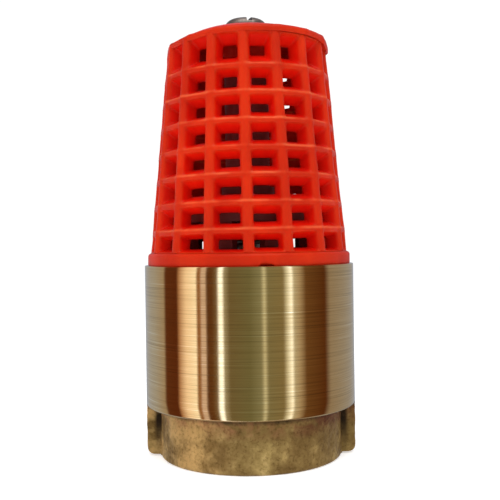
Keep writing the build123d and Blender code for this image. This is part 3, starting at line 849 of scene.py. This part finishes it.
def slot_bar(low, high, turn):
    """The bar that cuts the screw's slot: it lies across the axis, turned by an angle."""
    half_long, half_wide = 8, 0.6
    along = Vector((math.cos(turn), math.sin(turn), 0)) * half_long
    across = Vector((-math.sin(turn), math.cos(turn), 0)) * half_wide
    corners = []
    for z in (low, high):
        for i, j in ((-1, -1), (1, -1), (1, 1), (-1, 1)):
            spot = along * i + across * j
            corners.append((spot.x * MM, spot.y * MM, z * MM))
    sides = [(3, 2, 1, 0), (4, 5, 6, 7), (0, 1, 5, 4), (1, 2, 6, 5), (2, 3, 7, 6), (3, 0, 4, 7)]
    mesh = bpy.data.meshes.new("slot_cutter")
    mesh.from_pydata(corners, [], sides)
    bar = bpy.data.objects.new("slot_cutter", mesh)
    bpy.context.scene.collection.objects.link(bar)
    return bar


M5_R, M5_PITCH = 2.5, 0.8


def cap_screw():
    """A slotted pan head on a long shank with a rolled thread at its foot."""
    shell = Shell()
    segments = 72
    head_foot, head_r = SCREW_HIGH.z - 3.1, SCREW_HIGH.x
    thread_top = SCREW_LOW.z + 16
    shell.cap(threaded_rod(shell, M5_R, M5_PITCH, SCREW_LOW.z, thread_top, segments))
    profile = [(M5_R, thread_top), (M5_R, head_foot - 0.2), (M5_R + 0.2, head_foot)]
    profile += [(head_r - 0.15, head_foot), (head_r, head_foot + 0.12)]
    pan_wide, pan_high, pan_foot = 1.9, 1.75, head_foot + 1.05
    top_r = head_r - pan_wide
    for k in range(9):
        turn = math.pi / 2 * k / 8
        profile.append((top_r + pan_wide * math.cos(turn), pan_foot + pan_high * math.sin(turn)))
    profile += [(r, SCREW_HIGH.z - 0.3 * (r / top_r) ** 2) for r in (2.3, 1.6, 0.8)]
    shell.cap(lathe(shell, profile, segments))
    piece = shell.piece("cap_screw_steel", [ZINC], 35.0)
    cut_with(piece, slot_bar(SCREW_HIGH.z - 1.4, SCREW_HIGH.z + 1, math.radians(102.0)))
    edge = piece.modifiers.new("edge", "BEVEL")
    edge.width = 0.06 * MM
    edge.segments = 2
    edge.limit_method = "ANGLE"
    edge.angle_limit = math.radians(50.0)
    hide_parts("cap_screw")
    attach(piece, "valve")


def poppet_stem():
    """A threaded foot for the nut, a collar that carries the disc, and a groove for the clip."""
    shell = Shell()
    segments = 48
    foot, top = STEM_LOW.z, STEM_HIGH.z
    thread_top = foot + 8.5
    collar_foot, collar_r = 32.75, 3.8
    collar_top = collar_foot + 0.85
    groove_foot, groove_r = 49.15, 2.0
    groove_top = groove_foot + 0.6
    shell.cap(threaded_rod(shell, M5_R, M5_PITCH, foot, thread_top, segments))
    profile = [(M5_R, thread_top), (M5_R, collar_foot)]
    profile += [(collar_r - 0.08, collar_foot), (collar_r, collar_foot + 0.08)]
    profile += [(collar_r, collar_top - 0.15), (collar_r - 0.15, collar_top), (M5_R, collar_top)]
    profile += [(M5_R, groove_foot - 0.02), (M5_R - 0.04, groove_foot), (groove_r, groove_foot)]
    profile += [(groove_r, groove_top), (M5_R - 0.04, groove_top), (M5_R, groove_top + 0.05)]
    profile += [(M5_R, top - 0.4), (M5_R - 0.1, top - 0.15), (M5_R - 0.4, top), (0.6, top)]
    shell.cap(lathe(shell, profile, segments))
    piece = shell.piece("poppet_stem_steel", [STAINLESS], 35.0)
    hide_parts("poppet_stem")
    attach(piece, "poppet")


def return_spring():
    """Closed and ground ends: the first and last turns lie flat, and their wire is faced off square."""
    shell = Shell()
    length = 11.5
    foot, top = SPRING_LOW.z, SPRING_LOW.z + length
    wire, mean, coils, flat = 0.4, 4.7, 5.5, 0.85
    stations, sides = 330, 12
    end_rise = 0.9 * wire

    def lift(turns):
        """The wire's height after a number of turns."""
        inner = min(max(turns - flat, 0.0), coils - 2 * flat) / (coils - 2 * flat)
        ease = inner + 0.03 * math.sin(TURN * inner)
        closed = end_rise * (min(turns, flat) + max(0.0, turns - coils + flat)) / flat
        return foot + 0.25 * wire + closed + (length - 0.5 * wire - 2 * end_rise) * ease

    loops = []
    for i in range(stations + 1):
        turns = coils * i / stations
        a = TURN * turns
        centre_z = lift(turns)
        loop = []
        for b in steps(sides):
            r = mean + wire * math.cos(b)
            z = min(top - 0.01, max(foot + 0.01, centre_z + wire * math.sin(b)))
            loop.append((r * math.cos(a), r * math.sin(a), z))
        loops.append(shell.loop(loop))
    shell.sleeve(loops)
    shell.cap(loops[0])
    shell.cap(loops[-1])
    piece = shell.piece("return_spring_wire", [SPRING_STEEL], 60.0)
    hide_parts("return_spring")
    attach(piece, "valve")
    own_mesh(piece)


# --- Turned pieces inside -------------------------------------------------------------------------
def stand_in(node, corners, material, body, segments):
    """A turned piece with its edges broken, in place of its CAD node."""
    piece = turned(f"{node}_turned", corners, material, segments)
    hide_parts(node)
    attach(piece, body)


def ring_profile(node, bore, edge):
    """A plain ring's profile between the node's lowest and highest points, with broken edges."""
    low, high = box_mm(node)
    return [(bore, low.z, edge), (high.y, low.z, edge), (high.y, high.z, edge), (bore, high.z, edge)]


def disc_profile(bore):
    """The poppet's disc: a boss below for the nut, and a raised rim round the seal."""
    low, high = box_mm("poppet_disc")
    boss_r, rim_bore = 6.5, 14.4
    disc_foot, disc_top = low.z + 2.0, low.z + 5.0
    corners = [(bore + 0.25, low.z, 0.15), (boss_r, low.z, 0.35), (boss_r, disc_foot, 0.5)]
    corners += [(high.y - 0.8, disc_foot, 0.3), (high.y, disc_foot + 0.8, 0.3), (high.y, high.z, 0.2)]
    corners += [(rim_bore, high.z, 0.2), (rim_bore, disc_top, 0.1), (bore, disc_top, 0.0)]
    return corners


def turned_pieces():
    """The plain rings and the poppet's disc."""
    on_stem, on_screw = M5_R + 0.03, M5_R + 0.15
    for node, bore, edge, material, slot_name, body, segments in (
        ("seat_gasket", CHAMBER_R, 0.2, FIBRE, "gasket_fibre", "valve", 96),
        ("screw_washer", on_screw, 0.15, ZINC, "zinc_steel", "valve", 96),
        ("spacer_tube", on_screw + 0.1, 0.3, NYLON_WITH_PAINTED_RED_LIGHT, "black_nylon", "valve", 96),
        ("poppet_seal", on_stem, 0.25, RUBBER, "seal_rubber", "poppet", 96),
        ("seal_plate", on_stem, 0.25, INNER, "inner_brass", "poppet", 96),
        ("spring_retainer", on_stem, 0.2, INNER, "inner_brass", "poppet", 64),
    ):
        stand_in(node, ring_profile(node, bore, edge), material, body, segments)
    stand_in("poppet_disc", disc_profile(on_stem), INNER, "poppet", 128)


# --- CAD nodes that keep their shape --------------------------------------------------------------
def dress(node, material):
    """A CAD node gets its material and keeps its shape."""
    piece = frame["nodes"][node]
    piece.data.materials.clear()
    piece.data.materials.append(material)
    for slot in piece.material_slots:
        slot.material = material


for cad_node, cad_material in (
    ("seat_bush", INNER),
    ("guide_cage", NYLON_WITH_PAINTED_RED_LIGHT),
    ("cage_insert", INNER),
    ("cage_retaining_ring", SPRING_STEEL),
    ("stem_washer", STAINLESS),
    ("stem_nut", STAINLESS),
    ("stem_clip", SPRING_STEEL),
):
    dress(cad_node, cad_material)

valve_body()
strainer_basket()
strainer_cap()
cap_screw()
poppet_stem()
return_spring()
turned_pieces()


# --- Studio ---------------------------------------------------------------------------------------
def floor():
    """A plain pale floor, lit enough from within to stay as white as the backdrop."""
    mesh = bpy.data.meshes.new("floor")
    reach = 1.5
    corners = [(-reach, -reach, 0), (reach, -reach, 0), (reach, reach, 0), (-reach, reach, 0)]
    mesh.from_pydata(corners, [], [(0, 1, 2, 3)])
    plane = bpy.data.objects.new("floor", mesh)
    bpy.context.scene.collection.objects.link(plane)
    paint = Paint("floor_white")
    cloud = paint.noise(3.0, 2.0)
    colour = paint.ramp(cloud, [(0.3, 0.88), (0.7, 0.9)])
    paint.set(Emission_Color=(1.0, 1.0, 1.0, 1.0), Emission_Strength=0.5, Specular_IOR_Level=0.0)
    mesh.materials.append(paint.finish(colour, paint.ramp(cloud, [(0.3, 0.88), (0.7, 0.94)])))
    plane.visible_glossy = False


# The bright and dark panels round the studio that polished brass mirrors. Each stop is an angle in degrees,
# from straight in front of the valve, right positive, and a colour.
SURROUND = [
    (-180, (0.40, 0.45, 0.55)),
    (-125, (0.42, 0.42, 0.45)),
    (-106, (0.42, 0.34, 0.28)),
    (-102, (0.13, 0.04, 0.015)),
    (-84, (0.12, 0.03, 0.01)),
    (-81, (0.50, 0.26, 0.15)),
    (-71, (1.15, 0.92, 0.80)),
    (-59, (1.30, 1.20, 1.15)),
    (-57, (0.34, 0.15, 0.06)),
    (-54, (0.36, 0.17, 0.07)),
    (-52, (0.76, 0.58, 0.57)),
    (-47.5, (0.76, 0.58, 0.55)),
    (-46, (0.13, 0.05, 0.018)),
    (-40, (0.15, 0.06, 0.02)),
    (-34.5, (0.24, 0.16, 0.09)),
    (-32, (1.7, 1.85, 2.3)),
    (-29, (1.7, 1.85, 2.3)),
    (-27, (0.43, 0.40, 0.32)),
    (-21, (0.19, 0.15, 0.08)),
    (0, (0.19, 0.18, 0.10)),
    (12, (0.28, 0.28, 0.19)),
    (15.5, (0.72, 0.72, 0.60)),
    (19, (0.25, 0.23, 0.14)),
    (36, (0.27, 0.22, 0.12)),
    (40, (0.80, 0.80, 0.75)),
    (45, (1.5, 1.6, 1.85)),
    (48, (0.58, 0.54, 0.46)),
    (54, (0.48, 0.38, 0.28)),
    (62, (0.17, 0.08, 0.03)),
    (88, (0.11, 0.035, 0.01)),
    (96, (0.34, 0.28, 0.24)),
    (180, (0.40, 0.45, 0.55)),
]


def world():
    """A white backdrop for the eye, the surround for mirrored light and a soft white for the rest."""
    made = bpy.data.worlds.new("studio")
    made.use_nodes = True
    bpy.context.scene.world = made
    tree = made.node_tree
    tree.nodes.clear()

    def node(kind, **values):
        lighter_left = tree.nodes.new(kind)
        for key, value in values.items():
            setattr(lighter_left, key, value)
        return lighter_left

    def link(a, b):
        tree.links.new(a, b)

    place = node("ShaderNodeTexCoord")
    split = node("ShaderNodeSeparateXYZ")
    link(place.outputs["Generated"], split.inputs["Vector"])
    flip = node("ShaderNodeMath", operation="MULTIPLY")
    flip.inputs[1].default_value = -1.0
    link(split.outputs["Y"], flip.inputs[0])
    angle = node("ShaderNodeMath", operation="ARCTAN2")
    link(split.outputs["X"], angle.inputs[0])
    link(flip.outputs[0], angle.inputs[1])
    share = node("ShaderNodeMapRange")
    share.inputs["From Min"].default_value = -math.pi
    share.inputs["From Max"].default_value = math.pi
    link(angle.outputs[0], share.inputs["Value"])
    ramp = node("ShaderNodeValToRGB")
    elements = ramp.color_ramp.elements
    while len(elements) < len(SURROUND):
        elements.new(1.0)
    for element, (degrees, colour) in zip(elements, SURROUND):
        element.position = degrees / 360 + 0.5
        element.color = (*colour, 1.0)
    link(share.outputs["Result"], ramp.inputs["Fac"])

    surround = node("ShaderNodeBackground")
    link(ramp.outputs["Color"], surround.inputs["Color"])
    soft = node("ShaderNodeBackground")
    soft.inputs["Color"].default_value = (0.95, 0.97, 1.0, 1.0)
    soft.inputs["Strength"].default_value = 0.6
    backdrop = node("ShaderNodeBackground")
    backdrop.inputs["Color"].default_value = (1.0, 1.0, 1.0, 1.0)
    backdrop.inputs["Strength"].default_value = 1.05
    path = node("ShaderNodeLightPath")
    shiny = node("ShaderNodeMixShader")
    link(path.outputs["Is Glossy Ray"], shiny.inputs[0])
    link(soft.outputs[0], shiny.inputs[1])
    link(surround.outputs[0], shiny.inputs[2])
    seen = node("ShaderNodeMixShader")
    link(path.outputs["Is Camera Ray"], seen.inputs[0])
    link(shiny.outputs[0], seen.inputs[1])
    link(backdrop.outputs[0], seen.inputs[2])
    out = node("ShaderNodeOutputWorld")
    link(seen.outputs[0], out.inputs["Surface"])


def soft_light(name, place, size, power):
    """A rectangular lamp that faces the middle of the valve."""
    middle = Vector((0, 0, 0.05))
    data = bpy.data.lights.new(name, "AREA")
    data.shape = "RECTANGLE"
    data.size, data.size_y = size
    data.energy = power
    lamp = bpy.data.objects.new(name, data)
    lamp.location = place
    lamp.rotation_euler = (middle - Vector(place)).to_track_quat("-Z", "Y").to_euler()
    lamp.visible_camera = False
    bpy.context.scene.collection.objects.link(lamp)
    return lamp


def camera():
    """Level with the top of the brass body, leaning a little, with a small shift for the framing."""
    data = bpy.data.cameras.new("camera")
    data.sensor_width = 36.0
    data.lens = 58.56
    data.clip_start = 0.01
    data.shift_x = 0.0026
    data.shift_y = -0.010
    view = bpy.data.objects.new("camera", data)
    view.location = (0.0, -0.185, 0.047)
    view.rotation_euler = (math.radians(90.0), math.radians(0.8), 0.0)
    bpy.context.scene.collection.objects.link(view)
    bpy.context.scene.camera = view


floor()
world()
soft_light("top_light", (0.05, -0.25, 0.55), (0.5, 0.35), 2.0)
left_light = soft_light("left_light", (-0.5, -0.3, 0.3), (0.3, 0.5), 0.6)
left_light.visible_glossy = False
camera()
bpy.context.scene.view_settings.view_transform = "Standard"
